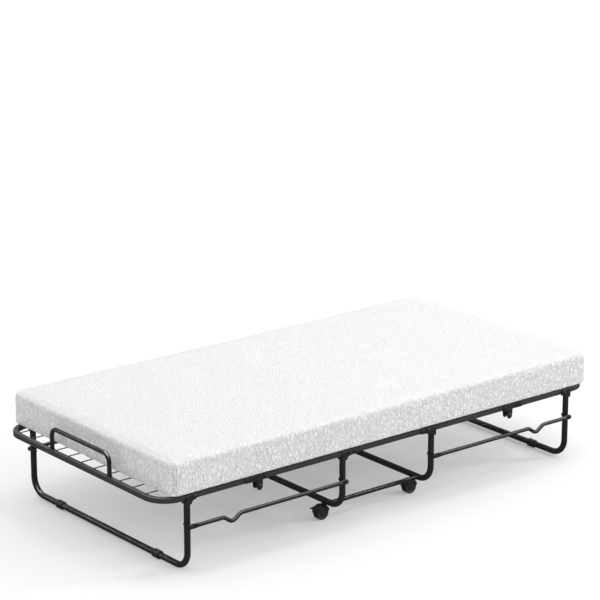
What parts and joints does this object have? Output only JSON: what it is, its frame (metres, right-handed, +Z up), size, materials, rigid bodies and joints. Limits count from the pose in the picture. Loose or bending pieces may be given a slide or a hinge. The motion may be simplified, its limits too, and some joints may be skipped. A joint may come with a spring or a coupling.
{
  "type": "rollaway bed",
  "caption": "Folding guest bed: two half decks fold up over a castered centre base, linked legs, wire sleeping surface and a soft mattress.",
  "frame": {"origin": "on the floor, under the centre of the bed's overall outline", "axes": "+X along the bed to the foot end, +Y across, +Z up"},
  "size_m": [1.9992, 0.9764, 0.41],
  "materials": {
    "frame_enamel": "semi-gloss charcoal powder coat",
    "wire_enamel": "black enamel",
    "bracket_enamel": "black enamel",
    "bolt_steel": "blackened zinc",
    "caster_plastic": "satin black nylon",
    "wheel_plastic": "satin black nylon",
    "collar_rubber": "matt black rubber",
    "mattress_cover": "white embossed knit over foam"
  },
  "bodies": {
    "base": {"center_frame": "frame_enamel", "tie_bar_front": "frame_enamel", "tie_bar_back": "frame_enamel", "center_mattress": "mattress_cover", "head_center_leg": "frame_enamel", "head_deck_bolt_front": "bolt_steel", "head_deck_bolt_back": "bolt_steel", "foot_center_leg": "frame_enamel", "foot_deck_bolt_front": "bolt_steel", "foot_deck_bolt_back": "bolt_steel"},
    "head_link_front": {"head_link_front": "wire_enamel"},
    "head_caster_front": {"head_caster_housing_front": "caster_plastic"},
    "head_wheels_front": {"head_caster_wheels_front": "wheel_plastic"},
    "head_link_back": {"head_link_back": "wire_enamel"},
    "head_caster_back": {"head_caster_housing_back": "caster_plastic"},
    "head_wheels_back": {"head_caster_wheels_back": "wheel_plastic"},
    "head_deck": {"head_frame": "frame_enamel", "head_cross_rail_a": "frame_enamel", "head_cross_rail_b": "frame_enamel", "head_cross_rail_c": "frame_enamel", "head_upper_mesh": "wire_enamel", "head_lower_mesh": "wire_enamel", "head_handle": "frame_enamel", "head_mattress": "mattress_cover", "head_catch_front": "bracket_enamel", "head_leg_bolt_front": "bolt_steel", "head_catch_back": "bracket_enamel", "head_leg_bolt_back": "bolt_steel"},
    "head_leg": {"head_leg": "frame_enamel", "head_foot_collar_front": "collar_rubber", "head_foot_collar_back": "collar_rubber"},
    "head_brake": {"head_brake_pedal": "caster_plastic"},
    "foot_link_front": {"foot_link_front": "wire_enamel"},
    "foot_caster_front": {"foot_caster_housing_front": "caster_plastic"},
    "foot_wheels_front": {"foot_caster_wheels_front": "wheel_plastic"},
    "foot_link_back": {"foot_link_back": "wire_enamel"},
    "foot_caster_back": {"foot_caster_housing_back": "caster_plastic"},
    "foot_wheels_back": {"foot_caster_wheels_back": "wheel_plastic"},
    "foot_deck": {"foot_frame": "frame_enamel", "foot_cross_rail_a": "frame_enamel", "foot_cross_rail_b": "frame_enamel", "foot_cross_rail_c": "frame_enamel", "foot_upper_mesh": "wire_enamel", "foot_lower_mesh": "wire_enamel", "foot_handle": "frame_enamel", "foot_mattress": "mattress_cover", "foot_catch_front": "bracket_enamel", "foot_leg_bolt_front": "bolt_steel", "foot_catch_back": "bracket_enamel", "foot_leg_bolt_back": "bolt_steel"},
    "foot_leg": {"foot_leg": "frame_enamel", "foot_foot_collar_front": "collar_rubber", "foot_foot_collar_back": "collar_rubber"},
    "foot_brake": {"foot_brake_pedal": "caster_plastic"},
    "latch": {"latch_strap": "bracket_enamel"}
  },
  "joints": [
    {"name": "head_fold", "type": "hinge", "parent": "base", "child": "head_deck", "pos_m": [-0.1941, 0, 0.271], "axis": [0, 1, 0], "range_deg": [0, 90]},
    {"name": "foot_fold", "type": "hinge", "parent": "base", "child": "foot_deck", "pos_m": [0.1659, 0, 0.271], "axis": [0, -1, 0], "range_deg": [0, 90]},
    {"name": "head_leg_pivot", "type": "hinge", "parent": "head_deck", "child": "head_leg", "pos_m": [-0.8591, 0, 0.271], "axis": [0, 1, 0], "range_deg": [-90, 0]},
    {"name": "head_link_front_pivot", "type": "hinge", "parent": "base", "child": "head_link_front", "pos_m": [-0.2181, -0.482, 0.171], "axis": [0, 1, 0], "range_deg": [0, 90]},
    {"name": "head_swivel_front", "type": "hinge", "parent": "base", "child": "head_caster_front", "pos_m": [-0.2181, -0.36, 0.05], "axis": [0, 0, 1], "continuous": true},
    {"name": "head_wheel_front_spin", "type": "hinge", "parent": "head_caster_front", "child": "head_wheels_front", "pos_m": [-0.2321, -0.36, 0.025], "axis": [0, 1, 0], "continuous": true},
    {"name": "head_link_back_pivot", "type": "hinge", "parent": "base", "child": "head_link_back", "pos_m": [-0.2181, 0.482, 0.171], "axis": [0, 1, 0], "range_deg": [0, 90]},
    {"name": "head_swivel_back", "type": "hinge", "parent": "base", "child": "head_caster_back", "pos_m": [-0.2181, 0.36, 0.05], "axis": [0, 0, 1], "continuous": true},
    {"name": "head_wheel_back_spin", "type": "hinge", "parent": "head_caster_back", "child": "head_wheels_back", "pos_m": [-0.2321, 0.36, 0.025], "axis": [0, 1, 0], "continuous": true},
    {"name": "head_brake_press", "type": "hinge", "parent": "head_caster_front", "child": "head_brake", "pos_m": [-0.2616, -0.36, 0.0442], "axis": [0, -1, 0], "range_deg": [0, 18]},
    {"name": "foot_leg_pivot", "type": "hinge", "parent": "foot_deck", "child": "foot_leg", "pos_m": [0.8309, 0, 0.271], "axis": [0, -1, 0], "range_deg": [-90, 0]},
    {"name": "foot_link_front_pivot", "type": "hinge", "parent": "base", "child": "foot_link_front", "pos_m": [0.1899, -0.482, 0.171], "axis": [0, -1, 0], "range_deg": [0, 90]},
    {"name": "foot_swivel_front", "type": "hinge", "parent": "base", "child": "foot_caster_front", "pos_m": [0.1899, -0.36, 0.05], "axis": [0, 0, 1], "continuous": true},
    {"name": "foot_wheel_front_spin", "type": "hinge", "parent": "foot_caster_front", "child": "foot_wheels_front", "pos_m": [0.1759, -0.36, 0.025], "axis": [0, 1, 0], "continuous": true},
    {"name": "foot_link_back_pivot", "type": "hinge", "parent": "base", "child": "foot_link_back", "pos_m": [0.1899, 0.482, 0.171], "axis": [0, -1, 0], "range_deg": [0, 90]},
    {"name": "foot_swivel_back", "type": "hinge", "parent": "base", "child": "foot_caster_back", "pos_m": [0.1899, 0.36, 0.05], "axis": [0, 0, 1], "continuous": true},
    {"name": "foot_wheel_back_spin", "type": "hinge", "parent": "foot_caster_back", "child": "foot_wheels_back", "pos_m": [0.1759, 0.36, 0.025], "axis": [0, 1, 0], "continuous": true},
    {"name": "foot_brake_press", "type": "hinge", "parent": "foot_caster_front", "child": "foot_brake", "pos_m": [0.1464, -0.36, 0.0442], "axis": [0, -1, 0], "range_deg": [0, 18]},
    {"name": "latch_swing", "type": "hinge", "parent": "foot_deck", "child": "latch", "pos_m": [0.9619, 0, 0.359], "axis": [0, -1, 0], "range_deg": [0, 170.5]}
  ],
  "couplings": [
    {"joint": "head_leg_pivot", "follows": "head_fold", "ratio": -1},
    {"joint": "head_link_front_pivot", "follows": "head_fold", "ratio": 1},
    {"joint": "head_link_back_pivot", "follows": "head_fold", "ratio": 1},
    {"joint": "foot_leg_pivot", "follows": "foot_fold", "ratio": -1},
    {"joint": "foot_link_front_pivot", "follows": "foot_fold", "ratio": 1},
    {"joint": "foot_link_back_pivot", "follows": "foot_fold", "ratio": 1}
  ]
}
